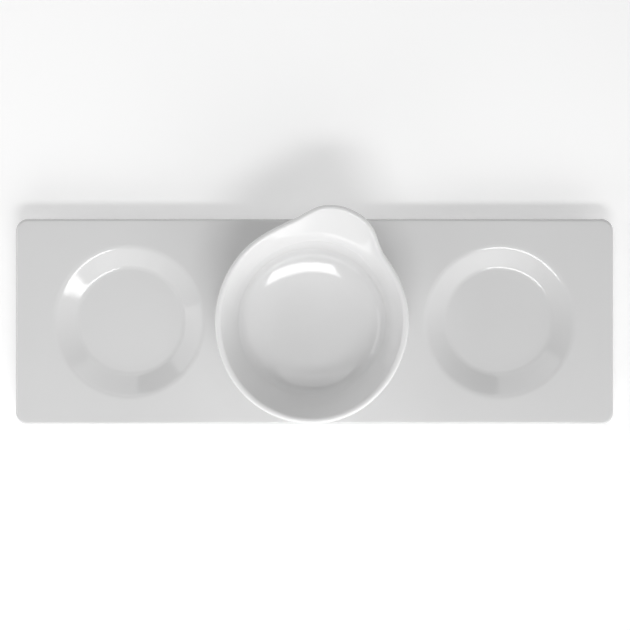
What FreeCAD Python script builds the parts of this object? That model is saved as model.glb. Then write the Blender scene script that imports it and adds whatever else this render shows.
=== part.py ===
import FreeCAD, Part
import math
import os
import Sketcher

# Chip and dip server: an oblong porcelain tray with three round wells, and a dip bowl that
# stands loose in the middle well. Millimetres, +Z up, +X along the tray, +Y towards the bowl's
# ear, origin at the tray's centre on the table plane.

os.makedirs("parts", exist_ok=True)
V = FreeCAD.Vector
doc = FreeCAD.newDocument("chip_and_dip_server")

# ---------------------------------------------------------------- driving dimensions
CELLS = [
    # tray
    ("tray_length", 420.0), ("tray_width", 144.5), ("tray_corner", 8.5), ("tray_height", 18.0),
    ("slab_thick", 5.5), ("edge_round", 2.2),
    ("foot_length", 404.0), ("foot_width", 128.5), ("foot_corner", 13.0), ("foot_wall", 4.5),
    ("foot_round", 0.9), ("foot_root", 2.5),
    ("well_pitch", 130.0), ("well_lip_radius", 54.9), ("well_floor_radius", 35.3),
    ("well_depth", 6.7), ("lip_round", 11.0), ("floor_round", 10.5), ("well_wall", 5.0),
    # bowl
    ("bowl_shift_x", -1.5), ("bowl_shift_y", 0.8), ("seat_gap", 0.03),
    ("bowl_wall", 4.4), ("bowl_floor_radius", 21.3), ("bowl_floor_top", 6.6),
    ("bowl_sweep_round", 66.6), ("bowl_sweep_tilt", 20.7), ("bowl_heel_round", 10.4),
    ("rim_radius", 61.3), ("rim_level", 48.5), ("ear_rise", 0.355),
    ("ring_outer", 33.2), ("ring_inner", 28.8), ("ring_round", 0.7), ("ring_flare", 2.9),
]
sheet = doc.addObject("Spreadsheet::Sheet", "Dimensions")
for row, (alias, value) in enumerate(CELLS, start=1):
    sheet.set("A%d" % row, alias)
    sheet.set("B%d" % row, "%g" % value)
    sheet.setAlias("B%d" % row, alias)
doc.recompute()


def dim(alias):
    return float(sheet.get(alias))


def plane_of(body, role):
    for feature in body.Origin.OriginFeatures:
        if feature.Role == role:
            return feature
    raise RuntimeError("no origin feature " + role)


def new_sketch(body, name, role, offset=None):
    sketch = body.newObject("Sketcher::SketchObject", name)
    sketch.AttachmentSupport = [(plane_of(body, role), "")]
    sketch.MapMode = "FlatFace"
    if offset is not None:
        sketch.AttachmentOffset = FreeCAD.Placement(offset, FreeCAD.Rotation())
    return sketch


def rounded_rectangle(sketch, prefix, length, width, radius):
    """Four lines and four corner arcs about the sketch origin, tied to named dimensions."""
    a, b, r = dim(length) / 2.0, dim(width) / 2.0, dim(radius) if isinstance(radius, str) else radius
    z = V(0, 0, 1)
    g = [
        Part.LineSegment(V(-a + r, -b, 0), V(a - r, -b, 0)),
        Part.ArcOfCircle(Part.Circle(V(a - r, -b + r, 0), z, r), -math.pi / 2, 0),
        Part.LineSegment(V(a, -b + r, 0), V(a, b - r, 0)),
        Part.ArcOfCircle(Part.Circle(V(a - r, b - r, 0), z, r), 0, math.pi / 2),
        Part.LineSegment(V(a - r, b, 0), V(-a + r, b, 0)),
        Part.ArcOfCircle(Part.Circle(V(-a + r, b - r, 0), z, r), math.pi / 2, math.pi),
        Part.LineSegment(V(-a, b - r, 0), V(-a, -b + r, 0)),
        Part.ArcOfCircle(Part.Circle(V(-a + r, -b + r, 0), z, r), math.pi, 1.5 * math.pi),
    ]
    i = [sketch.addGeometry(item, False) for item in g]
    C = Sketcher.Constraint
    for k in range(8):
        n = (k + 1) % 8
        # a line's end is its point 2; an anticlockwise arc starts at its point 1
        sketch.addConstraint(C("Tangent", i[k], 2, i[n], 1))
    sketch.addConstraint(C("Horizontal", i[0]))
    sketch.addConstraint(C("Vertical", i[2]))
    sketch.addConstraint(C("Horizontal", i[4]))
    sketch.addConstraint(C("Vertical", i[6]))
    sketch.addConstraint(C("Equal", i[1], i[3]))
    sketch.addConstraint(C("Equal", i[1], i[5]))
    n = sketch.addConstraint(C("Radius", i[1], r))
    sketch.renameConstraint(n, prefix + "_radius")
    n = sketch.addConstraint(C("DistanceX", i[6], 1, i[2], 1, 2 * a))
    sketch.renameConstraint(n, prefix + "_length")
    n = sketch.addConstraint(C("DistanceY", i[0], 2, i[4], 1, 2 * b))
    sketch.renameConstraint(n, prefix + "_width")
    sketch.addConstraint(C("Symmetric", i[0], 1, i[4], 1, -1, 1))
    return i


# ---------------------------------------------------------------- tray
tray = doc.addObject("PartDesign::Body", "tray")
tray.Label = "tray"

s = new_sketch(tray, "SlabOutline", "XY_Plane", V(0, 0, dim("tray_height") - dim("slab_thick")))
rounded_rectangle(s, "slab", "tray_length", "tray_width", "tray_corner")
s.setExpression("Constraints.slab_length", "Dimensions.tray_length")
s.setExpression("Constraints.slab_width", "Dimensions.tray_width")
s.setExpression("Constraints.slab_radius", "Dimensions.tray_corner")
s.setExpression(".AttachmentOffset.Base.z", "Dimensions.tray_height - Dimensions.slab_thick")
slab = tray.newObject("PartDesign::Pad", "Slab")
slab.Profile = s
slab.setExpression("Length", "Dimensions.slab_thick")

s = new_sketch(tray, "FootRim", "XY_Plane")
rounded_rectangle(s, "outer", "foot_length", "foot_width", "foot_corner")
s.setExpression("Constraints.outer_length", "Dimensions.foot_length")
s.setExpression("Constraints.outer_width", "Dimensions.foot_width")
s.setExpression("Constraints.outer_radius", "Dimensions.foot_corner")
foot = tray.newObject("PartDesign::Pad", "Foot")
foot.Profile = s
foot.setExpression("Length", "Dimensions.tray_height - Dimensions.slab_thick")
s = new_sketch(tray, "FootHollow", "XY_Plane")
inner_len, inner_wid = dim("foot_length") - 2 * dim("foot_wall"), dim("foot_width") - 2 * dim("foot_wall")
inner_rad = dim("foot_corner") - dim("foot_wall")
a, b, r = inner_len / 2.0, inner_wid / 2.0, inner_rad
z = V(0, 0, 1)
items = [
    Part.LineSegment(V(-a + r, -b, 0), V(a - r, -b, 0)),
    Part.ArcOfCircle(Part.Circle(V(a - r, -b + r, 0), z, r), -math.pi / 2, 0),
    Part.LineSegment(V(a, -b + r, 0), V(a, b - r, 0)),
    Part.ArcOfCircle(Part.Circle(V(a - r, b - r, 0), z, r), 0, math.pi / 2),
    Part.LineSegment(V(a - r, b, 0), V(-a + r, b, 0)),
    Part.ArcOfCircle(Part.Circle(V(-a + r, b - r, 0), z, r), math.pi / 2, math.pi),
    Part.LineSegment(V(-a, b - r, 0), V(-a, -b + r, 0)),
    Part.ArcOfCircle(Part.Circle(V(-a + r, -b + r, 0), z, r), math.pi, 1.5 * math.pi),
]
i = [s.addGeometry(item, False) for item in items]
C = Sketcher.Constraint
for k in range(8):
    s.addConstraint(C("Tangent", i[k], 2, i[(k + 1) % 8], 1))
s.addConstraint(C("Horizontal", i[0]))
s.addConstraint(C("Vertical", i[2]))
s.addConstraint(C("Horizontal", i[4]))
s.addConstraint(C("Vertical", i[6]))
s.addConstraint(C("Equal", i[1], i[3]))
s.addConstraint(C("Equal", i[1], i[5]))
s.renameConstraint(s.addConstraint(C("Radius", i[1], r)), "inner_radius")
s.renameConstraint(s.addConstraint(C("DistanceX", i[6], 1, i[2], 1, 2 * a)), "inner_length")
s.renameConstraint(s.addConstraint(C("DistanceY", i[0], 2, i[4], 1, 2 * b)), "inner_width")
s.addConstraint(C("Symmetric", i[0], 1, i[4], 1, -1, 1))
s.setExpression("Constraints.inner_length", "Dimensions.foot_length - 2 * Dimensions.foot_wall")
s.setExpression("Constraints.inner_width", "Dimensions.foot_width - 2 * Dimensions.foot_wall")
s.setExpression("Constraints.inner_radius", "Dimensions.foot_corner - Dimensions.foot_wall")
doc.recompute()
vol_before = tray.Shape.Volume
hollow = tray.newObject("PartDesign::Pocket", "FootHollowCut")
hollow.Profile = s
hollow.Reversed = True
hollow.setExpression("Length", "Dimensions.tray_height - Dimensions.slab_thick")
doc.recompute()
want = (inner_len * inner_wid - (4 - math.pi) * inner_rad ** 2) * (dim("tray_height") - dim("slab_thick"))
print("foot hollow removed", round(vol_before - tray.Shape.Volume), "of", round(want))
assert abs(vol_before - tray.Shape.Volume - want) < 1e-3 * want


# one well's section: floor, floor arc, straight slope, lip arc
def well_angle(lip, floor, depth, span):
    """Slope angle of the line tangent to both arcs (about 24 degrees)."""
    lo, hi = 0.05, 1.4
    for _ in range(80):
        t = (lo + hi) / 2
        line = (span - (lip + floor) * math.sin(t)) / math.cos(t)
        got = (lip + floor) * (1 - math.cos(t)) + line * math.sin(t)
        if got < depth:
            lo = t
        else:
            hi = t
    return (lo + hi) / 2


R_LIP, R_FLO = dim("well_lip_radius"), dim("well_floor_radius")
A_LIP, A_FLO, DEPTH = dim("lip_round"), dim("floor_round"), dim("well_depth")
THETA = well_angle(A_LIP, A_FLO, DEPTH, R_LIP - R_FLO)
TOP = dim("tray_height")


def well_sketch(name, grow, cap):
    """Half section of a well, its surface moved outwards by grow, closed by a lid at height cap."""
    s = new_sketch(tray, name, "XZ_Plane", V(-dim("well_pitch"), 0, 0))
    s.setExpression(".AttachmentOffset.Base.x", "-Dimensions.well_pitch")
    cf = V(R_FLO, TOP - DEPTH + A_FLO, 0)
    cl = V(R_LIP, TOP - A_LIP, 0)
    rf, rl = A_FLO + grow, A_LIP - grow
    p0 = V(0, TOP - DEPTH - grow, 0)
    p1 = V(R_FLO, TOP - DEPTH - grow, 0)
    p2 = V(cf.x + rf * math.sin(THETA), cf.y - rf * math.cos(THETA), 0)
    p3 = V(cl.x - rl * math.sin(THETA), cl.y + rl * math.cos(THETA), 0)
    p4 = V(R_LIP, TOP - grow, 0)
    p5 = V(R_LIP, cap, 0)
    p6 = V(0, cap, 0)
    i = [
        s.addGeometry(Part.LineSegment(p0, p1), False),
        s.addGeometry(Part.ArcOfCircle(Part.Circle(cf, V(0, 0, 1), rf), -math.pi / 2, THETA - math.pi / 2), False),
        s.addGeometry(Part.LineSegment(p2, p3), False),
        s.addGeometry(Part.ArcOfCircle(Part.Circle(cl, V(0, 0, 1), rl), math.pi / 2, math.pi / 2 + THETA), False),
        s.addGeometry(Part.LineSegment(p4, p5), False),
        s.addGeometry(Part.LineSegment(p5, p6), False),
        s.addGeometry(Part.LineSegment(p6, p0), False),
    ]
    s.addConstraint(C("Coincident", i[0], 2, i[1], 1))
    s.addConstraint(C("Tangent", i[1], 2, i[2], 1))
    s.addConstraint(C("Tangent", i[2], 2, i[3], 2))
    s.addConstraint(C("Coincident", i[3], 1, i[4], 1))
    s.addConstraint(C("Coincident", i[4], 2, i[5], 1))
    s.addConstraint(C("Coincident", i[5], 2, i[6], 1))
    s.addConstraint(C("Coincident", i[6], 2, i[0], 1))
    s.addConstraint(C("Horizontal", i[0]))
    s.addConstraint(C("Horizontal", i[5]))
    s.addConstraint(C("Vertical", i[4]))
    s.addConstraint(C("PointOnObject", i[0], 1, -2))
    s.addConstraint(C("PointOnObject", i[6], 1, -2))
    s.addConstraint(C("Vertical", i[0], 2, i[1], 3))
    s.addConstraint(C("Vertical", i[3], 1, i[3], 3))
    s.renameConstraint(s.addConstraint(C("DistanceX", -1, 1, i[0], 2, R_FLO)), "floor_radius")
    s.renameConstraint(s.addConstraint(C("DistanceX", -1, 1, i[3], 1, R_LIP)), "lip_radius")
    s.renameConstraint(s.addConstraint(C("DistanceY", -1, 1, i[0], 2, TOP - DEPTH - grow)), "floor_level")
    s.renameConstraint(s.addConstraint(C("DistanceY", -1, 1, i[3], 1, TOP - grow)), "lip_level")
    s.renameConstraint(s.addConstraint(C("Radius", i[1], rf)), "floor_arc")
    s.renameConstraint(s.addConstraint(C("Radius", i[3], rl)), "lip_arc")
    s.renameConstraint(s.addConstraint(C("DistanceY", -1, 1, i[5], 1, cap)), "lid_level")
    off = " - Dimensions.well_wall" if grow else ""
    s.setExpression("Constraints.floor_radius", "Dimensions.well_floor_radius")
    s.setExpression("Constraints.lip_radius", "Dimensions.well_lip_radius")
    s.setExpression("Constraints.floor_level", "Dimensions.tray_height - Dimensions.well_depth" + off)
    s.setExpression("Constraints.lip_level", "Dimensions.tray_height" + off)
    s.setExpression("Constraints.floor_arc", "Dimensions.floor_round" + off.replace("-", "+"))
    s.setExpression("Constraints.lip_arc", "Dimensions.lip_round" + off)
    return s


s = well_sketch("WellShell", dim("well_wall"), TOP - 1.0)
s.setExpression("Constraints.lid_level", "Dimensions.tray_height - 1")
shell = tray.newObject("PartDesign::Revolution", "WellUnderside")
shell.Profile = s
shell.ReferenceAxis = (s, ["V_Axis"])
shell.Angle = 360
doc.recompute()
row = tray.newObject("PartDesign::LinearPattern", "WellUndersides")
row.Originals = [shell]
row.Direction = (plane_of(tray, "X_Axis"), [""])
row.Length = 2 * dim("well_pitch")
row.setExpression("Length", "2 * Dimensions.well_pitch")
row.Occurrences = 3
tray.Tip = row
doc.recompute()

s = well_sketch("WellHollow", 0.0, TOP + 2.0)
s.setExpression("Constraints.lid_level", "Dimensions.tray_height + 2")
vol_before = tray.Shape.Volume
well = tray.newObject("PartDesign::Groove", "Well")
well.Profile = s
well.ReferenceAxis = (s, ["V_Axis"])
well.Angle = 360
doc.recompute()
one_well = vol_before - tray.Shape.Volume
row = tray.newObject("PartDesign::LinearPattern", "Wells")
row.Originals = [well]
row.Direction = (plane_of(tray, "X_Axis"), [""])
row.Length = 2 * dim("well_pitch")
row.setExpression("Length", "2 * Dimensions.well_pitch")
row.Occurrences = 3
tray.Tip = row
doc.recompute()
print("one well", round(one_well), "three wells", round(vol_before - tray.Shape.Volume))
assert abs(vol_before - tray.Shape.Volume - 3 * one_well) < 0.01 * one_well


def edges_where(shape, test):
    return ["Edge%d" % (n + 1) for n, e in enumerate(shape.Edges) if test(e)]


def flat_at(edge, level):
    return abs(edge.BoundBox.ZMin - level) < 1e-4 and abs(edge.BoundBox.ZMax - level) < 1e-4


def on_outline(edge, length, width):
    """Edge lies on the border of a centred rectangle of this size, corners included."""
    a, b = length / 2.0, width / 2.0
    m = edge.valueAt(0.5 * (edge.FirstParameter + edge.LastParameter))
    return abs(m.x) > a - 6 and abs(m.x) < a + 1e-3 or abs(m.y) > b - 6 and abs(m.y) < b + 1e-3 and abs(m.x) < a


def fillet(name, base_shape, tests, cell):
    names = edges_where(base_shape, tests)
    assert names, name
    f = tray.newObject("PartDesign::Fillet", name)
    f.Base = (previous, names)
    f.Radius = dim(cell)
    f.setExpression("Radius", "Dimensions." + cell)
    doc.recompute()
    assert f.Shape.isValid() and f.State[:1] != ["Invalid"], name
    print(name, len(names), "edges")
    return f


H, TS = dim("tray_height"), dim("slab_thick")
TL, TW, FL, FW, FWALL = dim("tray_length"), dim("tray_width"), dim("foot_length"), dim("foot_width"), dim("foot_wall")


def mid(edge):
    return edge.valueAt(0.5 * (edge.FirstParameter + edge.LastParameter))


def slab_rim(edge):
    m = mid(edge)
    outer = abs(m.x) > TL / 2 - 4 or abs(m.y) > TW / 2 - 0.01
    return outer and (flat_at(edge, H) or flat_at(edge, H - TS))


previous = row
previous = fillet("SlabEdge", previous.Shape, slab_rim, "edge_round")


def foot_top(edge):
    m = mid(edge)
    near = (abs(m.x) > FL / 2 - FWALL - 6 or abs(m.y) > FW / 2 - FWALL - 0.01) and abs(m.x) < TL / 2 - 4 and abs(m.y) < TW / 2 - 4
    return near and flat_at(edge, H - TS)


previous = fillet("FootRoot", previous.Shape, foot_top, "foot_root")
previous = fillet("FootEdge", previous.Shape, lambda e: flat_at(e, 0.0), "foot_round")
tray.Tip = previous
doc.recompute()

# ---------------------------------------------------------------- bowl
# The rim's centre line: how far it stands out beyond a plain round rim, every 5 degrees
# anticlockwise from +X, in millimetres. The ear is the peak near 75 degrees; its right flank is
# steep and its left flank fades out slowly round the back of the bowl.
EAR = [1.2, 1.6, 2.0, 2.3, 2.7, 3.0, 3.4, 3.8, 4.4, 5.2, 7.3, 11.2, 15.3, 17.9, 19.1, 19.7, 19.3, 17.8,
       14.7, 11.5, 9.3, 8.0, 7.1, 6.5, 6.0, 5.6, 5.1, 4.6, 4.0, 3.5, 2.9, 2.5, 2.0, 1.7, 1.3, 1.0,
       0.6, 0.4, 0.2, 0.05, 0.0, 0.0, 0.0, 0.0, 0.05, 0.1, 0.2, 0.3, 0.35, 0.4, 0.45, 0.5, 0.5, 0.5,
       0.5, 0.55, 0.55, 0.55, 0.5, 0.4, 0.3, 0.15, 0.0, -0.1, -0.15, -0.15, -0.1, 0.0, 0.1, 0.3, 0.6, 0.9]
assert len(EAR) == 72


def periodic_coefficients(values):
    """Uniform cubic B-spline coefficients that interpolate a closed list of values."""
    c = list(values)
    n = len(values)
    for _ in range(60):
        c = [(6 * values[j] - c[j - 1] - c[(j + 1) % n]) / 4.0 for j in range(n)]
    return c


EAR_C = periodic_coefficients(EAR)


def ear_reach(phi):
    x = (phi / (2 * math.pi) * 72) % 72
    j = int(x)
    f = x - j
    b = ((1 - f) ** 3 / 6, (3 * f ** 3 - 6 * f ** 2 + 4) / 6, (-3 * f ** 3 + 3 * f ** 2 + 3 * f + 1) / 6, f ** 3 / 6)
    return sum(w * EAR_C[(j - 1 + k) % 72] for k, w in enumerate(b))


HALF = dim("bowl_wall") / 2.0
FR, FT = dim("bowl_floor_radius"), dim("bowl_floor_top")
SW, ST, HEEL = dim("bowl_sweep_round") + HALF, math.radians(dim("bowl_sweep_tilt")), dim("bowl_heel_round") + HALF
RIM, LEVEL, RISE = dim("rim_radius"), dim("rim_level"), dim("ear_rise")
# end of the gentle sweep, then the angle of the straight wall that meets the rim
SR, SZ = FR + SW * math.sin(ST), FT - HALF + SW * (1 - math.cos(ST))
WALL = math.radians(68)
for _ in range(60):
    wr = SR + HEEL * (math.sin(WALL) - math.sin(ST))
    wz = SZ + HEEL * (math.cos(ST) - math.cos(WALL))
    WALL = math.atan2(LEVEL - wz, RIM - wr)
WR, WZ = wr, wz
print("wall angle", round(math.degrees(WALL), 2), "from", round(WR, 2), round(WZ, 2))


def middle(phi, s):
    """Middle surface of the bowl's wall: s runs from the floor (0) to the rim's centre line (1)."""
    if s < 0.2:
        t = ST * s / 0.2
        r, z = FR + SW * math.sin(t), FT - HALF + SW * (1 - math.cos(t))
    elif s < 0.4:
        t = ST + (WALL - ST) * (s - 0.2) / 0.2
        r, z = SR + HEEL * (math.sin(t) - math.sin(ST)), SZ + HEEL * (math.cos(ST) - math.cos(t))
    else:
        e = ear_reach(phi)
        soft = 1.0 / (1.0 + (abs(e) / 8.0) ** 3)
        drop = 2.0 + 6.0 * soft
        cr, cz = RIM - drop / math.tan(WALL), LEVEL - drop          # corner of wall and ear
        tr, tz = RIM + e, LEVEL + RISE * e                          # rim
        leg = math.hypot(tr - cr, tz - cz)
        ur, uz = (tr - cr) / leg, (tz - cz) / leg
        l1, l2 = 4.0 + 8.0 * soft, leg * (0.2 + 0.6 * soft)
        ar, az = cr - l1 * math.cos(WALL), cz - l1 * math.sin(WALL)  # bend starts
        br, bz = cr + l2 * ur, cz + l2 * uz                          # bend ends
        if s < 0.6:
            t = (s - 0.4) / 0.2
            r, z = WR + (ar - WR) * t, WZ + (az - WZ) * t
        elif s < 0.8:
            t = (s - 0.6) / 0.2
            k = 0.6
            p1r, p1z = ar + k * (cr - ar), az + k * (cz - az)
            p2r, p2z = br + k * (cr - br), bz + k * (cz - bz)
            w = ((1 - t) ** 3, 3 * t * (1 - t) ** 2, 3 * t * t * (1 - t), t ** 3)
            r = w[0] * ar + w[1] * p1r + w[2] * p2r + w[3] * br
            z = w[0] * az + w[1] * p1z + w[2] * p2z + w[3] * bz
        else:
            t = (s - 0.8) / 0.2
            r, z = br + (tr - br) * t, bz + (tz - bz) * t
    return V(r * math.cos(phi), r * math.sin(phi), z)


def frame_at(phi, s):
    """Point, unit normal towards the inside, and unit direction out along the wall."""
    d = 1e-4
    m = middle(phi, s)
    around = middle(phi + d, s) - middle(phi - d, s)
    s0, s1 = max(s - d, 0.0), min(s + d, 1.0)
    along = middle(phi, s1) - middle(phi, s0)
    n = along.cross(around)
    n.normalize()
    if n.z < 0 and s < 0.3 or n.dot(V(math.cos(phi), math.sin(phi), -0.3)) > 0:
        n = n * -1
    out = around.cross(n)
    out.normalize()
    if out.dot(along) < 0:
        out = out * -1
    return m, n, out


STATIONS = [0.0, 0.05, 0.1, 0.15, 0.2, 0.24, 0.28, 0.32, 0.36, 0.4, 0.45, 0.5, 0.55, 0.6, 0.64, 0.68, 0.72, 0.76, 0.8,
            0.87, 0.94, 1.0]
COLUMNS = 96
rings = []
for s in STATIONS:
    ring = []
    for j in range(COLUMNS):
        m, n, out = frame_at(2 * math.pi * j / COLUMNS, s)
        ring.append(m - n * HALF)
    rings.append(ring)
for k in range(1, 8):
    a = math.pi - math.pi * k / 8
    ring = []
    for j in range(COLUMNS):
        m, n, out = frame_at(2 * math.pi * j / COLUMNS, 1.0)
        ring.append(m + n * (HALF * math.cos(a)) + out * (HALF * math.sin(a)))
    rings.append(ring)
for s in reversed(STATIONS):
    ring = []
    for j in range(COLUMNS):
        m, n, out = frame_at(2 * math.pi * j / COLUMNS, s)
        ring.append(m + n * HALF)
    rings.append(ring)

params = [0.0]
for a, b in zip(rings, rings[1:]):
    params.append(params[-1] + sum((p - q).Length for p, q in zip(a, b)) / COLUMNS)
columns = []
for ring in rings:
    cx = periodic_coefficients([p.x for p in ring])
    cy = periodic_coefficients([p.y for p in ring])
    cz = periodic_coefficients([p.z for p in ring])
    columns.append([V(x, y, z) for x, y, z in zip(cx, cy, cz)])
grid = None
for j in range(COLUMNS):
    curve = Part.BSplineCurve()
    curve.interpolate(Points=[ring[j] for ring in columns], Parameters=params)
    poles = curve.getPoles()
    if grid is None:
        grid = [[] for _ in poles]
        uknots, umults, udegree = curve.getKnots(), curve.getMultiplicities(), curve.Degree
    for k, p in enumerate(poles):
        grid[k].append(p)
# the first and last two rows stay level, so the wall runs flat into the floor and the underside
for rows, level in (((0, 1), FT - 2 * HALF), ((-1, -2), FT)):
    for k in rows:
        grid[k] = [V(p.x, p.y, level) for p in grid[k]]
surface = Part.BSplineSurface()
surface.buildFromPolesMultsKnots(grid, umults, [1] * (COLUMNS + 1), uknots, [float(k) for k in range(COLUMNS + 1)],
                                 False, True, udegree, 3)
u0, u1, v0, v1 = surface.bounds()
quarters, ring_edges = [], [[], []]
for k in range(4):
    patch = surface.copy()
    patch.segment(u0, u1, v0 + k * COLUMNS / 4.0, v0 + (k + 1) * COLUMNS / 4.0)
    face = patch.toShape()
    quarters.append(face)
    for edge in face.Edges:
        if abs(edge.BoundBox.ZMax - edge.BoundBox.ZMin) < 1e-3 and edge.Length > 20:
            ring_edges[edge.BoundBox.ZMin > FT - HALF].append(edge)
assert [len(r) for r in ring_edges] == [4, 4], [len(r) for r in ring_edges]
caps = [Part.Face(Part.Wire(Part.sortEdges(r)[0])) for r in ring_edges]
skin_shell = Part.Shell(quarters + caps)
skin_shell.sewShape()
solid = Part.Solid(skin_shell if skin_shell.ShapeType == "Shell" else skin_shell.Shells[0])
if solid.Volume < 0:
    solid.reverse()
print("bowl wall solid", solid.isValid(), round(solid.Volume))
wall = doc.addObject("Part::Feature", "BowlWall")
wall.Shape = solid

bowl = doc.addObject("PartDesign::Body", "bowl")
bowl.Label = "bowl"
bowl.BaseFeature = wall
doc.recompute()

# foot ring: flat bottom with rounded corners, outer side flaring into the wall
s = new_sketch(bowl, "FootRing", "XZ_Plane")
RO, RI, RR, RF = dim("ring_outer"), dim("ring_inner"), dim("ring_round"), dim("ring_flare")
top = 4.2
zz = V(0, 0, 1)
q = [V(RI + RR, 0, 0), V(RO - RR, 0, 0), V(RO, RR, 0), V(RO, RR + 0.2, 0), V(RO + RF, RR + 0.2 + RF, 0),
     V(RO + RF, top, 0), V(RI, top, 0), V(RI, RR, 0)]
i = [
    s.addGeometry(Part.LineSegment(q[0], q[1]), False),
    s.addGeometry(Part.ArcOfCircle(Part.Circle(V(RO - RR, RR, 0), zz, RR), -math.pi / 2, 0), False),
    s.addGeometry(Part.LineSegment(q[2], q[3]), False),
    s.addGeometry(Part.ArcOfCircle(Part.Circle(V(RO + RF, RR + 0.2, 0), zz, RF), math.pi / 2, math.pi), False),
    s.addGeometry(Part.LineSegment(q[4], q[5]), False),
    s.addGeometry(Part.LineSegment(q[5], q[6]), False),
    s.addGeometry(Part.LineSegment(q[6], q[7]), False),
    s.addGeometry(Part.ArcOfCircle(Part.Circle(V(RI + RR, RR, 0), zz, RR), math.pi, 1.5 * math.pi), False),
]
s.addConstraint(C("Tangent", i[0], 2, i[1], 1))
s.addConstraint(C("Tangent", i[1], 2, i[2], 1))
s.addConstraint(C("Tangent", i[2], 2, i[3], 2))
s.addConstraint(C("Coincident", i[3], 1, i[4], 1))
s.addConstraint(C("Coincident", i[4], 2, i[5], 1))
s.addConstraint(C("Coincident", i[5], 2, i[6], 1))
s.addConstraint(C("Tangent", i[6], 2, i[7], 1))
s.addConstraint(C("Tangent", i[7], 2, i[0], 1))
s.addConstraint(C("Horizontal", i[0]))
s.addConstraint(C("PointOnObject", i[0], 1, -1))
s.addConstraint(C("Vertical", i[2]))
s.addConstraint(C("Vertical", i[4]))
s.addConstraint(C("Horizontal", i[5]))
s.addConstraint(C("Vertical", i[6]))
s.addConstraint(C("Vertical", i[3], 1, i[3], 3))
s.addConstraint(C("Equal", i[1], i[7]))
s.renameConstraint(s.addConstraint(C("Radius", i[1], RR)), "round")
s.renameConstraint(s.addConstraint(C("Radius", i[3], RF)), "flare")
s.renameConstraint(s.addConstraint(C("DistanceX", -1, 1, i[2], 1, RO)), "outer")
s.renameConstraint(s.addConstraint(C("DistanceX", -1, 1, i[6], 1, RI)), "inner")
s.addConstraint(C("DistanceY", -1, 1, i[5], 1, top))
s.addConstraint(C("DistanceY", i[2], 1, i[2], 2, 0.2))
s.setExpression("Constraints.round", "Dimensions.ring_round")
s.setExpression("Constraints.flare", "Dimensions.ring_flare")
s.setExpression("Constraints.outer", "Dimensions.ring_outer")
s.setExpression("Constraints.inner", "Dimensions.ring_inner")
ring = bowl.newObject("PartDesign::Revolution", "BowlFootRing")
ring.Profile = s
ring.ReferenceAxis = (s, ["V_Axis"])
ring.Angle = 360
doc.recompute()
bowl.Tip = ring
bowl.Placement = FreeCAD.Placement(V(dim("bowl_shift_x"), dim("bowl_shift_y"), TOP - DEPTH + dim("seat_gap")), FreeCAD.Rotation())
bowl.setExpression(".Placement.Base.x", "Dimensions.bowl_shift_x")
bowl.setExpression(".Placement.Base.y", "Dimensions.bowl_shift_y")
bowl.setExpression(".Placement.Base.z", "Dimensions.tray_height - Dimensions.well_depth + Dimensions.seat_gap")
doc.recompute()

# ---------------------------------------------------------------- checks and export
for obj in doc.Objects:
    bad = [word for word in obj.State if word in ("Invalid", "Error")]
    assert not bad, (obj.Name, obj.State)
    if obj.TypeId == "Sketcher::SketchObject":
        print("sketch", obj.Name, "free", obj.solve(), "conflict", obj.ConflictingConstraints)
for body in (tray, bowl):
    shape = body.Shape
    assert not shape.isNull() and shape.isValid(), body.Label
    assert len(shape.Solids) == 1, (body.Label, len(shape.Solids))
    box = shape.optimalBoundingBox(True, False)
    print(body.Label, "volume", round(shape.Volume), "faces", len(shape.Faces), "box",
          [round(v, 3) for v in (box.XMin, box.XMax, box.YMin, box.YMax, box.ZMin, box.ZMax)])
    shape.exportStep("parts/%s.step" % body.Label)
print("done")
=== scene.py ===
import math

import bmesh
import bpy
import numpy as np
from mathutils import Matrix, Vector


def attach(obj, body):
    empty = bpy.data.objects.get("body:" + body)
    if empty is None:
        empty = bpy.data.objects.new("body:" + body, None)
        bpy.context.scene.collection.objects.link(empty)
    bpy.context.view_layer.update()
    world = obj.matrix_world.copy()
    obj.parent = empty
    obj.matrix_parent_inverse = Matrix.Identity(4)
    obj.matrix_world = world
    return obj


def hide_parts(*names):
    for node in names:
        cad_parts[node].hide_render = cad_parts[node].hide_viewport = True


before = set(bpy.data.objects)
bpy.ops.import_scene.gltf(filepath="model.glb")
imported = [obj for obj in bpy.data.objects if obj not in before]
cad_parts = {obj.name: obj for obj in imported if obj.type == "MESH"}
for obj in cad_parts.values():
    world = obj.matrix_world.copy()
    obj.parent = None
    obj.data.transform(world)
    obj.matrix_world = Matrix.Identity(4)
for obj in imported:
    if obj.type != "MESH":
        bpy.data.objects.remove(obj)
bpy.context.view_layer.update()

MM = 0.001

# ------------------------------------------------------------------ dimensions, millimetres
TRAY_L, TRAY_W, TRAY_R, TRAY_H = 420.0, 144.5, 8.5, 18.0
SLAB, EDGE = 5.5, 2.2
FOOT_L, FOOT_W, FOOT_R, FOOT_WALL, FOOT_ROUND, FOOT_ROOT = 404.0, 128.5, 13.0, 4.5, 0.9, 2.5
PITCH, LIP_R, FLOOR_R, DEPTH, LIP_ARC, FLOOR_ARC, WELL_WALL = 130.0, 54.9, 35.3, 6.7, 11.0, 10.5, 5.0

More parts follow.
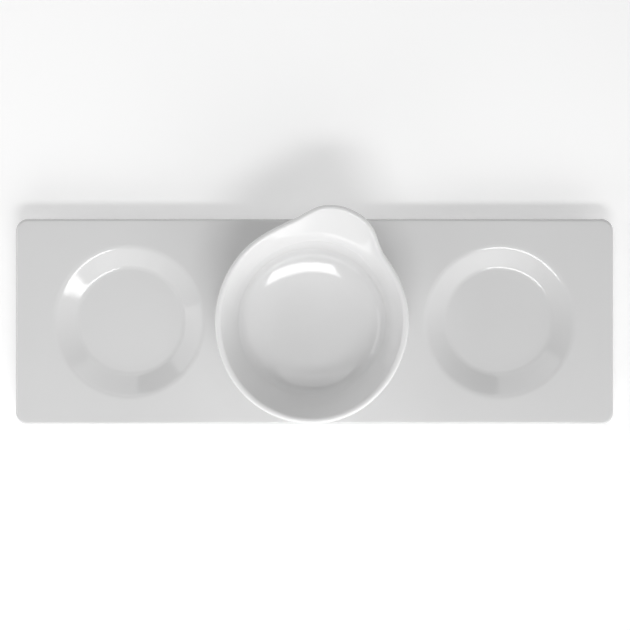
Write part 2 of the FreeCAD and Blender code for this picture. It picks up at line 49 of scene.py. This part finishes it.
BOWL_X, BOWL_Y, BOWL_Z = -1.5, 0.8, TRAY_H - DEPTH + 0.03
WALL_T, B_FLOOR_R, B_FLOOR_Z, SWEEP, SWEEP_TILT, HEEL = 4.4, 21.3, 6.6, 66.6, 20.7, 10.4
RING_OUT, RING_IN, RING_ROUND, RING_FLARE = 33.2, 28.8, 0.7, 2.9
RIM_R, RIM_Z, EAR_RISE = 61.3, 48.5, 0.355
EAR = [1.2, 1.6, 2.0, 2.3, 2.7, 3.0, 3.4, 3.8, 4.4, 5.2, 7.3, 11.2, 15.3, 17.9, 19.1, 19.7, 19.3, 17.8,
       14.7, 11.5, 9.3, 8.0, 7.1, 6.5, 6.0, 5.6, 5.1, 4.6, 4.0, 3.5, 2.9, 2.5, 2.0, 1.7, 1.3, 1.0,
       0.6, 0.4, 0.2, 0.05, 0.0, 0.0, 0.0, 0.0, 0.05, 0.1, 0.2, 0.3, 0.35, 0.4, 0.45, 0.5, 0.5, 0.5,
       0.5, 0.55, 0.55, 0.55, 0.5, 0.4, 0.3, 0.15, 0.0, -0.1, -0.15, -0.15, -0.1, 0.0, 0.1, 0.3, 0.6, 0.9]


# ------------------------------------------------------------------ mesh helpers
def mesh_piece(name, verts, faces, body, node, material):
    """A closed mesh from points in millimetres, checked, smooth shaded, riding on its body."""
    bm = bmesh.new()
    vs = [bm.verts.new((x * MM, y * MM, z * MM)) for x, y, z in verts]
    for f in faces:
        bm.faces.new([vs[i] for i in f])
    bmesh.ops.remove_doubles(bm, verts=bm.verts, dist=1e-7)
    bmesh.ops.recalc_face_normals(bm, faces=bm.faces)
    open_edges = sum(1 for e in bm.edges if not e.is_manifold)
    mesh = bpy.data.meshes.new(name)
    bm.to_mesh(mesh)
    volume = bm.calc_volume()
    bm.free()
    print(name, "vertices", len(mesh.vertices), "open edges", open_edges, "cm3", round(volume * 1e6, 2))
    if open_edges:
        raise RuntimeError(name + " isn't closed")
    for poly in mesh.polygons:
        poly.use_smooth = True
    obj = bpy.data.objects.new(name, mesh)
    bpy.context.scene.collection.objects.link(obj)
    mesh.materials.append(material)
    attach(obj, body)
    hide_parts(node)
    return obj


def arc(cx, cz, r, a0, a1, n):
    """Points along an arc in the (radius, height) plane, both ends included, angles in degrees."""
    return [(cx + r * math.cos(math.radians(a)), cz + r * math.sin(math.radians(a))) for a in np.linspace(a0, a1, n)]


# ------------------------------------------------------------------ bowl
def periodic_coefficients(values):
    c = list(values)
    n = len(values)
    for _ in range(60):
        c = [(6 * values[j] - c[j - 1] - c[(j + 1) % n]) / 4.0 for j in range(n)]
    return np.array(c)


EAR_C = periodic_coefficients(EAR)


def ear_reach(phi):
    x = (phi / (2 * math.pi) * 72) % 72
    j = np.floor(x).astype(int)
    f = x - j
    b = ((1 - f) ** 3 / 6, (3 * f ** 3 - 6 * f ** 2 + 4) / 6, (-3 * f ** 3 + 3 * f ** 2 + 3 * f + 1) / 6, f ** 3 / 6)
    return sum(w * EAR_C[(j - 1 + k) % 72] for k, w in enumerate(b))


HALF = WALL_T / 2
SW, ST, HL = SWEEP + HALF, math.radians(SWEEP_TILT), HEEL + HALF
SR, SZ = B_FLOOR_R + SW * math.sin(ST), B_FLOOR_Z - HALF + SW * (1 - math.cos(ST))
WALL_A = math.radians(68)
for _ in range(60):
    WR = SR + HL * (math.sin(WALL_A) - math.sin(ST))
    WZ = SZ + HL * (math.cos(ST) - math.cos(WALL_A))
    WALL_A = math.atan2(RIM_Z - WZ, RIM_R - WR)


def middle(phi, s):
    """Middle surface of the bowl's wall for an array of angles: s from the floor (0) to the rim (1)."""
    if s < 0.2:
        t = ST * s / 0.2
        r, z = B_FLOOR_R + SW * math.sin(t) + 0 * phi, B_FLOOR_Z - HALF + SW * (1 - math.cos(t)) + 0 * phi
    elif s < 0.4:
        t = ST + (WALL_A - ST) * (s - 0.2) / 0.2
        r, z = SR + HL * (math.sin(t) - math.sin(ST)) + 0 * phi, SZ + HL * (math.cos(ST) - math.cos(t)) + 0 * phi
    else:
        e = ear_reach(phi)
        soft = 1.0 / (1.0 + (np.abs(e) / 8.0) ** 3)
        drop = 2.0 + 6.0 * soft
        cr, cz = RIM_R - drop / math.tan(WALL_A), RIM_Z - drop
        tr, tz = RIM_R + e, RIM_Z + EAR_RISE * e
        leg = np.hypot(tr - cr, tz - cz)
        ur, uz = (tr - cr) / leg, (tz - cz) / leg
        l1, l2 = 4.0 + 8.0 * soft, leg * (0.2 + 0.6 * soft)
        ar, az = cr - l1 * math.cos(WALL_A), cz - l1 * math.sin(WALL_A)
        br, bz = cr + l2 * ur, cz + l2 * uz
        if s < 0.6:
            t = (s - 0.4) / 0.2
            r, z = WR + (ar - WR) * t, WZ + (az - WZ) * t
        elif s < 0.8:
            t = (s - 0.6) / 0.2
            k = 0.6
            p1r, p1z = ar + k * (cr - ar), az + k * (cz - az)
            p2r, p2z = br + k * (cr - br), bz + k * (cz - bz)
            w = ((1 - t) ** 3, 3 * t * (1 - t) ** 2, 3 * t * t * (1 - t), t ** 3)
            r = w[0] * ar + w[1] * p1r + w[2] * p2r + w[3] * br
            z = w[0] * az + w[1] * p1z + w[2] * p2z + w[3] * bz
        else:
            t = (s - 0.8) / 0.2
            r, z = br + (tr - br) * t, bz + (tz - bz) * t
    return np.stack([r * np.cos(phi), r * np.sin(phi), z], axis=-1)


def unit(v):
    return v / np.linalg.norm(v, axis=-1, keepdims=True)


def frame_at(phi, s):
    d = 1e-4
    m = middle(phi, s)
    around = middle(phi + d, s) - middle(phi - d, s)
    along = middle(phi, min(s + d, 1.0)) - middle(phi, max(s - d, 0.0))
    n = unit(np.cross(around, along))          # towards the inside: up on the floor, inwards on the wall
    n = n * np.sign(np.sum(n * np.stack([-np.cos(phi), -np.sin(phi), 0.5 + 0 * phi], axis=-1), axis=-1))[:, None]
    out = unit(np.cross(around, n))
    out = out * np.sign(np.sum(out * along, axis=-1))[:, None]
    return m, n, out


def build_bowl(material):
    columns = 480
    phi = np.arange(columns) * 2 * math.pi / columns
    ring_r = lambda r, z: np.stack([r * np.cos(phi), r * np.sin(phi), z + 0 * phi], axis=-1)
    rings = []
    under = B_FLOOR_Z - WALL_T
    outer_arc = SWEEP + WALL_T                                              # underside of the gentle sweep

    def underside(r):
        return under + outer_arc - math.sqrt(outer_arc ** 2 - max(r - B_FLOOR_R, 0.0) ** 2)

    profile = [(r, underside(r)) for r in (3.0, 7.0, 11.0, 15.0, 18.5, 21.3, 23.5, 25.5, 27.0)]
    zi = underside(RING_IN - 0.9)
    profile += arc(RING_IN - 0.9, zi - 0.9, 0.9, 90, 0, 7)                  # into the foot ring's inner side
    profile += [(RING_IN, 1.2)] + arc(RING_IN + RING_ROUND, RING_ROUND, RING_ROUND, 180, 270, 7)
    profile += [(30.2, 0.0), (31.6, 0.0)] + arc(RING_OUT - RING_ROUND, RING_ROUND, RING_ROUND, 270, 360, 7)
    profile += arc(RING_OUT + RING_FLARE, RING_ROUND + 0.2, RING_FLARE, 180, 92, 11)      # flare into the wall
    rings += [ring_r(r, z) for r, z in profile]
    s_join = 0.2 * math.asin((RING_OUT + RING_FLARE + 0.9 - B_FLOOR_R) / outer_arc) / ST
    stations = list(np.linspace(s_join, 0.2, 7)) + list(np.linspace(0.2, 0.4, 17))[1:] + list(np.linspace(0.4, 0.6, 9))[1:] \
        + list(np.linspace(0.6, 0.8, 19))[1:] + list(np.linspace(0.8, 1.0, 11))[1:]
    for s in stations:
        m, n, out = frame_at(phi, s)
        rings.append(m - n * HALF)
    m, n, out = frame_at(phi, 1.0)
    for a in np.linspace(180, 0, 25)[1:-1]:
        a = math.radians(a)
        rings.append(m + n * (HALF * math.cos(a)) + out * (HALF * math.sin(a)))
    inner = list(np.linspace(0.0, 0.2, 15)) + stations[7:]
    for s in reversed(inner):
        m, n, out = frame_at(phi, s)
        rings.append(m + n * HALF)
    rings += [ring_r(r, B_FLOOR_Z) for r in (19.0, 15.0, 11.0, 7.0, 3.0)]
    pts = [(0.0, 0.0, under)]
    for ring in rings:
        pts += [tuple(p) for p in ring]
    pts.append((0.0, 0.0, B_FLOOR_Z))
    pts = [(x + BOWL_X, y + BOWL_Y, z + BOWL_Z) for x, y, z in pts]
    faces = []
    n = columns
    first, last = 0, len(pts) - 1
    for j in range(n):
        k = (j + 1) % n
        faces.append((first, 1 + k, 1 + j))
        base = 1 + (len(rings) - 1) * n
        faces.append((last, base + j, base + k))
        for i in range(len(rings) - 1):
            a, b = 1 + i * n, 1 + (i + 1) * n
            faces.append((a + j, a + k, b + k, b + j))
    return mesh_piece("dip_bowl", pts, faces, "bowl", "bowl", material)


# ------------------------------------------------------------------ tray
def well_angle():
    lo, hi = 0.05, 1.4
    span = LIP_R - FLOOR_R
    for _ in range(80):
        t = (lo + hi) / 2
        line = (span - (LIP_ARC + FLOOR_ARC) * math.sin(t)) / math.cos(t)
        got = (LIP_ARC + FLOOR_ARC) * (1 - math.cos(t)) + line * math.sin(t)
        if got < DEPTH:
            lo = t
        else:
            hi = t
    return (lo + hi) / 2


THETA = math.degrees(well_angle())


def well_profile(grow):
    """(radius, height) from the well's floor out to the flat top; grow moves it down to the underside."""
    floor_z = TRAY_H - DEPTH - grow
    rf, rl = FLOOR_ARC + grow, LIP_ARC - grow
    pts = [(r, floor_z) for r in (4.0, 10.0, 16.0, 22.0, 28.0, 33.0)]
    pts += arc(FLOOR_R, floor_z + rf, rf, -90, THETA - 90, 17)
    p, q = pts[-1], arc(LIP_R, TRAY_H - LIP_ARC, rl, 90 + THETA, 90, 2)[0]
    pts += [(p[0] + (q[0] - p[0]) * k / 4, p[1] + (q[1] - p[1]) * k / 4) for k in (1, 2, 3)]
    pts += arc(LIP_R, TRAY_H - LIP_ARC, rl, 90 + THETA, 90, 17)
    return pts


STEP = 1.6
N_MID = 2 * int(round(PITCH / 2 / STEP))           # along a long side's middle cell
N_END = int(round((TRAY_L / 2 - PITCH / 2 - TRAY_R) / STEP))
N_SIDE = 2 * int(round((TRAY_W / 2 - TRAY_R) / STEP))
N_ARC = 12
CUT = PITCH / 2                                    # cells meet at x = -CUT and +CUT


def outline(length, width, radius):
    """A rounded rectangle's points, anticlockwise from the lower left straight's start, with the same count for every size."""
    a, b, r = length / 2, width / 2, radius
    low = [x for seg in (np.linspace(-a + r, -CUT, N_END + 1)[:-1], np.linspace(-CUT, CUT, N_MID + 1)[:-1],
                         np.linspace(CUT, a - r, N_END + 1)[:-1]) for x in seg]
    side = list(np.linspace(-b + r, b - r, N_SIDE + 1)[:-1])
    turn = np.linspace(0, 90, N_ARC + 1)[:-1]
    pts = [(x, -b) for x in low]
    pts += [(a - r + r * math.sin(math.radians(t)), -b + r - r * math.cos(math.radians(t))) for t in turn]
    pts += [(a, y) for y in side]
    pts += [(a - r + r * math.cos(math.radians(t)), b - r + r * math.sin(math.radians(t))) for t in turn]
    pts += [(-x, b) for x in low]
    pts += [(-a + r - r * math.sin(math.radians(t)), b - r + r * math.cos(math.radians(t))) for t in turn]
    pts += [(-a, -y) for y in side]
    pts += [(-a + r - r * math.cos(math.radians(t)), -b + r - r * math.sin(math.radians(t))) for t in turn]
    return pts


def build_tray(material):
    verts, faces = [], []

    def add(x, y, z):
        verts.append((x, y, z))
        return len(verts) - 1

    def loop(length, width, radius, z):
        return [add(x, y, z) for x, y in outline(length, width, radius)]

    def skirt(a, b, flip=False):
        n = len(a)
        for j in range(n):
            k = (j + 1) % n
            faces.append((a[j], a[k], b[k], b[j]))

    inset = lambda L, W, R, d: (L - 2 * d, W - 2 * d, R - d)
    # loops from the flat top's border, round the edge, under, round the foot, to the hollow's border
    loops = []
    for t in np.linspace(90, 0, 11):
        c, s = math.cos(math.radians(t)), math.sin(math.radians(t))
        loops.append(loop(*inset(TRAY_L, TRAY_W, TRAY_R, EDGE * (1 - c)), TRAY_H - EDGE + EDGE * s))
    for t in np.linspace(0, 90, 11):
        c, s = math.cos(math.radians(t)), math.sin(math.radians(t))
        loops.append(loop(*inset(TRAY_L, TRAY_W, TRAY_R, EDGE * (1 - c)), TRAY_H - SLAB + EDGE - EDGE * s))
    under = TRAY_H - SLAB
    f = (FOOT_L, FOOT_W, FOOT_R)
    loops.append(loop(*inset(TRAY_L, TRAY_W, TRAY_R, 3.6), under))
    for t in np.linspace(90, 0, 8):      # concave root outside the foot
        c, s = math.cos(math.radians(t)), math.sin(math.radians(t))
        loops.append(loop(*inset(*f, -FOOT_ROOT * (1 - c)), under - FOOT_ROOT + FOOT_ROOT * s))
    loops.append(loop(*f, under / 2))
    for t in np.linspace(0, 90, 7):
        c, s = math.cos(math.radians(t)), math.sin(math.radians(t))
        loops.append(loop(*inset(*f, FOOT_ROUND * (1 - c)), FOOT_ROUND - FOOT_ROUND * s))
    loops.append(loop(*inset(*f, FOOT_WALL / 2), 0.0))
    for t in np.linspace(90, 0, 7):
        c, s = math.cos(math.radians(t)), math.sin(math.radians(t))
        loops.append(loop(*inset(*f, FOOT_WALL - FOOT_ROUND * (1 - c)), FOOT_ROUND - FOOT_ROUND * s))
    loops.append(loop(*inset(*f, FOOT_WALL), under / 2))
    for t in np.linspace(0, 90, 8):
        c, s = math.cos(math.radians(t)), math.sin(math.radians(t))
        loops.append(loop(*inset(*f, FOOT_WALL + FOOT_ROOT * (1 - c)), under - FOOT_ROOT + FOOT_ROOT * s))
    for a, b in zip(loops, loops[1:]):
        skirt(a, b)

    def cells(border, profile, level):
        """Fills the border loop with three cells, each a round well in a rectangle."""
        n_low = 2 * N_END + N_MID
        i_l, i_r = N_END, N_END + N_MID                              # where x = -CUT and +CUT on the lower side
        j_r = n_low + N_ARC + N_SIDE + N_ARC + N_END                 # x = +CUT on the upper side
        j_l = j_r + N_MID
        n = len(border)
        yb = abs(verts[border[i_l]][1])
        ys = np.linspace(-yb, yb, N_SIDE + 1)[1:-1]
        left = [add(-CUT, y, level) for y in ys]
        right = [add(CUT, y, level) for y in ys]
        rim_left = [border[k % n] for k in range(j_l, n + i_l + 1)] + left
        rim_mid = [border[k] for k in range(i_l, i_r + 1)] + right + [border[k] for k in range(j_r, j_l + 1)] + left[::-1]
        rim_right = [border[k] for k in range(i_r, j_r + 1)] + right[::-1]
        for cx, rim in ((-PITCH, rim_left), (0.0, rim_mid), (PITCH, rim_right)):
            m = len(rim)
            centre = add(cx, 0.0, profile[0][1])
            angle = [math.atan2(verts[v][1], verts[v][0] - cx) for v in rim]
            rings = [[add(cx + r * math.cos(a), r * math.sin(a), z) for a in angle] for r, z in profile]
            r_end = profile[-1][0]
            for t in (0.06, 0.16, 0.3, 0.5, 0.72, 0.9):
                ring = []
                for v, a in zip(rim, angle):
                    x0, y0 = cx + r_end * math.cos(a), r_end * math.sin(a)
                    ring.append(add(x0 + (verts[v][0] - x0) * t, y0 + (verts[v][1] - y0) * t, level))
                rings.append(ring)
            rings.append(rim)
            for j in range(m):
                k = (j + 1) % m
                faces.append((centre, rings[0][j], rings[0][k]))
                for a, b in zip(rings, rings[1:]):
                    faces.append((a[j], b[j], b[k], a[k]))

    cells(loops[0], well_profile(0.0), TRAY_H)
    # the underside stops where the shell dips out of the slab's flat underside
    below = [p for p in well_profile(WELL_WALL) if p[1] < under - 0.05]
    a = below[-1]
    below += [(a[0] + 0.35, under - 0.035), (a[0] + 0.9, under)]
    cells(loops[-1], below, under)
    return mesh_piece("serving_tray", verts, faces, "tray", "tray", material)


# ------------------------------------------------------------------ glaze
def glaze(name, base, foot_z, foot_width, seed):
    """Glossy white porcelain glaze over a fine body, bare and matt where the foot stands."""
    m = bpy.data.materials.new(name)
    m.use_nodes = True
    nt = m.node_tree
    nt.nodes.clear()
    N, L = nt.nodes.new, nt.links.new
    out = N("ShaderNodeOutputMaterial")
    bsdf = N("ShaderNodeBsdfPrincipled")
    L(bsdf.outputs[0], out.inputs["Surface"])
    coord = N("ShaderNodeTexCoord")
    # colour: very faint clouding of the white body under the glaze
    cloud = N("ShaderNodeTexNoise")
    cloud.inputs["Scale"].default_value = 22.0
    cloud.inputs["Detail"].default_value = 4.0
    cloud.inputs["Roughness"].default_value = 0.55
    L(coord.outputs["Object"], cloud.inputs["Vector"])
    ramp = N("ShaderNodeValToRGB")
    ramp.color_ramp.elements[0].position = 0.30
    ramp.color_ramp.elements[1].position = 0.70
    dark = [c * 0.985 for c in base]
    ramp.color_ramp.elements[0].color = (*dark, 1)
    ramp.color_ramp.elements[1].color = (*base, 1)
    L(cloud.outputs["Fac"], ramp.inputs["Fac"])
    # bare foot: where the surface is within a hair of the plane it stands on
    sep = N("ShaderNodeSeparateXYZ")
    L(coord.outputs["Object"], sep.inputs[0])
    wobble = N("ShaderNodeTexNoise")
    wobble.inputs["Scale"].default_value = 140.0
    wobble.inputs["Detail"].default_value = 2.0
    L(coord.outputs["Object"], wobble.inputs["Vector"])
    edge = N("ShaderNodeMath")
    edge.operation = "MULTIPLY_ADD"
    L(wobble.outputs["Fac"], edge.inputs[0])
    edge.inputs[1].default_value = 0.0005
    L(sep.outputs["Z"], edge.inputs[2])
    bare = N("ShaderNodeMapRange")
    bare.inputs["From Min"].default_value = foot_z + 0.00055
    bare.inputs["From Max"].default_value = foot_z + 0.00075
    bare.inputs["To Min"].default_value = 1.0
    bare.inputs["To Max"].default_value = 0.0
    L(edge.outputs[0], bare.inputs["Value"])
    grain = N("ShaderNodeTexNoise")
    grain.inputs["Scale"].default_value = 1800.0
    grain.inputs["Detail"].default_value = 3.0
    L(coord.outputs["Object"], grain.inputs["Vector"])
    biscuit = N("ShaderNodeValToRGB")
    biscuit.color_ramp.elements[0].position = 0.35
    biscuit.color_ramp.elements[1].position = 0.65
    biscuit.color_ramp.elements[0].color = (0.66, 0.63, 0.58, 1)
    biscuit.color_ramp.elements[1].color = (0.76, 0.735, 0.69, 1)
    L(grain.outputs["Fac"], biscuit.inputs["Fac"])
    mix = N("ShaderNodeMix")
    mix.data_type = "RGBA"
    L(bare.outputs["Result"], mix.inputs["Factor"])
    L(ramp.outputs["Color"], mix.inputs[6])
    L(biscuit.outputs["Color"], mix.inputs[7])
    L(mix.outputs[2], bsdf.inputs["Base Color"])
    # roughness: a clear fired glaze with the faintest uneven gloss, matt on the bare foot
    gloss = N("ShaderNodeTexNoise")
    gloss.inputs["Scale"].default_value = 60.0
    gloss.inputs["Detail"].default_value = 5.0
    L(coord.outputs["Object"], gloss.inputs["Vector"])
    span = N("ShaderNodeMapRange")
    span.inputs["To Min"].default_value = ROUGH - 0.015
    span.inputs["To Max"].default_value = ROUGH + 0.02
    L(gloss.outputs["Fac"], span.inputs["Value"])
    rmix = N("ShaderNodeMix")
    rmix.data_type = "FLOAT"
    L(bare.outputs["Result"], rmix.inputs["Factor"])
    L(span.outputs["Result"], rmix.inputs[2])
    rmix.inputs[3].default_value = 0.75
    L(rmix.outputs[0], bsdf.inputs["Roughness"])
    # bump: the glaze's slow waviness, and the biscuit's grain on the foot
    wave = N("ShaderNodeTexNoise")
    wave.inputs["Scale"].default_value = 26.0
    wave.inputs["Detail"].default_value = 1.5
    L(coord.outputs["Object"], wave.inputs["Vector"])
    bump = N("ShaderNodeBump")
    bump.inputs["Strength"].default_value = 1.0
    bump.inputs["Distance"].default_value = 0.00005
    L(wave.outputs["Fac"], bump.inputs["Height"])
    rough_h = N("ShaderNodeMath")
    rough_h.operation = "MULTIPLY"
    L(grain.outputs["Fac"], rough_h.inputs[0])
    L(bare.outputs["Result"], rough_h.inputs[1])
    bump2 = N("ShaderNodeBump")
    bump2.inputs["Strength"].default_value = 0.6
    bump2.inputs["Distance"].default_value = 0.00012
    L(rough_h.outputs[0], bump2.inputs["Height"])
    L(bump.outputs[0], bump2.inputs["Normal"])
    L(bump2.outputs[0], bsdf.inputs["Normal"])
    bsdf.inputs["IOR"].default_value = 1.5
    return m


ROUGH = 0.09
tray_mat = glaze("tray_glaze_white", (0.74, 0.74, 0.74), 0.0, FOOT_WALL, 1)
bowl_mat = glaze("bowl_glaze_white", (0.83, 0.83, 0.83), BOWL_Z * MM, 4.4, 2)
tray = build_tray(tray_mat)
bowl = build_bowl(bowl_mat)

# ------------------------------------------------------------------ floor
fm = bpy.data.materials.new("floor_paper")
fm.use_nodes = True
fb = fm.node_tree.nodes["Principled BSDF"] if "Principled BSDF" in fm.node_tree.nodes else fm.node_tree.nodes.new("ShaderNodeBsdfPrincipled")
fb.inputs["Base Color"].default_value = (0.92, 0.92, 0.92, 1)
fb.inputs["Emission Color"].default_value = (1, 1, 1, 1)
fb.inputs["Emission Strength"].default_value = 0.2
fb.inputs["Roughness"].default_value = 0.9
fb.inputs["Specular IOR Level"].default_value = 0.1
bm = bmesh.new()
bmesh.ops.create_grid(bm, x_segments=8, y_segments=8, size=6.0)
fmesh = bpy.data.meshes.new("floor")
bm.to_mesh(fmesh)
bm.free()
floor = bpy.data.objects.new("floor", fmesh)
floor.location = (0, 0, -0.0004)
fmesh.materials.append(fm)
bpy.context.scene.collection.objects.link(floor)


# ------------------------------------------------------------------ lights
DOME, HORIZON = 0.11, 0.6
GLOWS = ((60, 12, 0.25), (300, 12, 2.70), (0, 50, 0.42))         # azimuth, elevation, strength


def panel(name, centre, size, aim, power, colour=(1, 1, 1)):
    """A rectangular soft light, sizes and places in metres, facing aim."""
    d = bpy.data.lights.new(name, "AREA")
    d.shape = "RECTANGLE"
    d.size, d.size_y = size
    d.energy = power
    d.color = colour
    o = bpy.data.objects.new(name, d)
    o.location = centre
    o.rotation_euler = (Vector(aim) - Vector(centre)).to_track_quat("-Z", "Y").to_euler()
    bpy.context.scene.collection.objects.link(o)
    return o


# the room: a dim even dome, paler at the horizon, with three broad soft glows
world = bpy.data.worlds.new("studio")
world.use_nodes = True
wt = world.node_tree
wt.nodes.clear()
wo = wt.nodes.new("ShaderNodeOutputWorld")
bg = wt.nodes.new("ShaderNodeBackground")
bg.inputs["Color"].default_value = (1, 1, 1, 1)
wt.links.new(bg.outputs[0], wo.inputs["Surface"])
wc = wt.nodes.new("ShaderNodeTexCoord")


def wmath(op, a, b):
    n = wt.nodes.new("ShaderNodeMath")
    n.operation = op
    for k, v in enumerate((a, b)):
        if v is None:
            continue
        if isinstance(v, (int, float)):
            n.inputs[k].default_value = v
        else:
            wt.links.new(v, n.inputs[k])
    return n.outputs[0]


wz = wt.nodes.new("ShaderNodeSeparateXYZ")
wt.links.new(wc.outputs["Generated"], wz.inputs[0])
total = wmath("MULTIPLY", wmath("POWER", wmath("SUBTRACT", 1.0, wmath("ABSOLUTE", wz.outputs["Z"], None)), 8.0), HORIZON)
total = wmath("ADD", total, DOME)
for az, el, strength in GLOWS:
    d = wt.nodes.new("ShaderNodeVectorMath")
    d.operation = "DOT_PRODUCT"
    wt.links.new(wc.outputs["Generated"], d.inputs[0])
    az, el = math.radians(az), math.radians(el)
    d.inputs[1].default_value = (math.cos(el) * math.cos(az), math.cos(el) * math.sin(az), math.sin(el))
    total = wmath("ADD", total, wmath("MULTIPLY", wmath("POWER", wmath("MAXIMUM", d.outputs["Value"], 0.0), 8.0), strength))
wt.links.new(total, bg.inputs["Strength"])
bpy.context.scene.world = world

panel("front_box", (0.092, -0.534, 0.913), (0.61, 0.236), (0.092, -0.534, 0.0), 4.0)
panel("front_wide", (0.0, -1.1, 0.75), (1.2, 0.6), (0.0, 0.0, 0.0), 1.3)
panel("front_left", (-0.5, -1.1, 0.55), (0.7, 0.5), (0.0, 0.0, 0.0), 2.1)
panel("back_panel", (-0.07, 0.62, 1.12), (0.86, 0.56), (-0.07, 0.62, 0.0), 2.5)
panel("left_side", (-1.4, 0.1, 0.7), (1.0, 1.0), (0.0, 0.0, 0.0), 5.2)
panel("over_left", (-0.3, 0.1, 1.3), (0.9, 1.2), (-0.3, 0.1, 0.0), 0.25)

# ------------------------------------------------------------------ camera
# Straight down from 800 mm over the tray's top, standing a little behind and right of the centre.
PX = 420.0 / 598.5                       # millimetres per pixel at the tray's top
NX, NY, DIST = 330.0, 200.0, 800.0       # the pixel straight below the camera
cam_data = bpy.data.cameras.new("camera")
cam = bpy.data.objects.new("camera", cam_data)
bpy.context.scene.collection.objects.link(cam)
cam.location = ((NX - 314.5) * PX * MM, (321.9 - NY) * PX * MM, (TRAY_H + DIST) * MM)
cam.rotation_euler = (0, 0, 0)
cam_data.sensor_width = 36.0
cam_data.lens = 36.0 * DIST / (630 * PX)
cam_data.shift_x = (315.0 - NX) / 630.0
cam_data.shift_y = (NY - 315.0) / 630.0
cam_data.clip_start, cam_data.clip_end = 0.05, 20
bpy.context.scene.camera = cam

bpy.context.scene.view_settings.view_transform = "Standard"
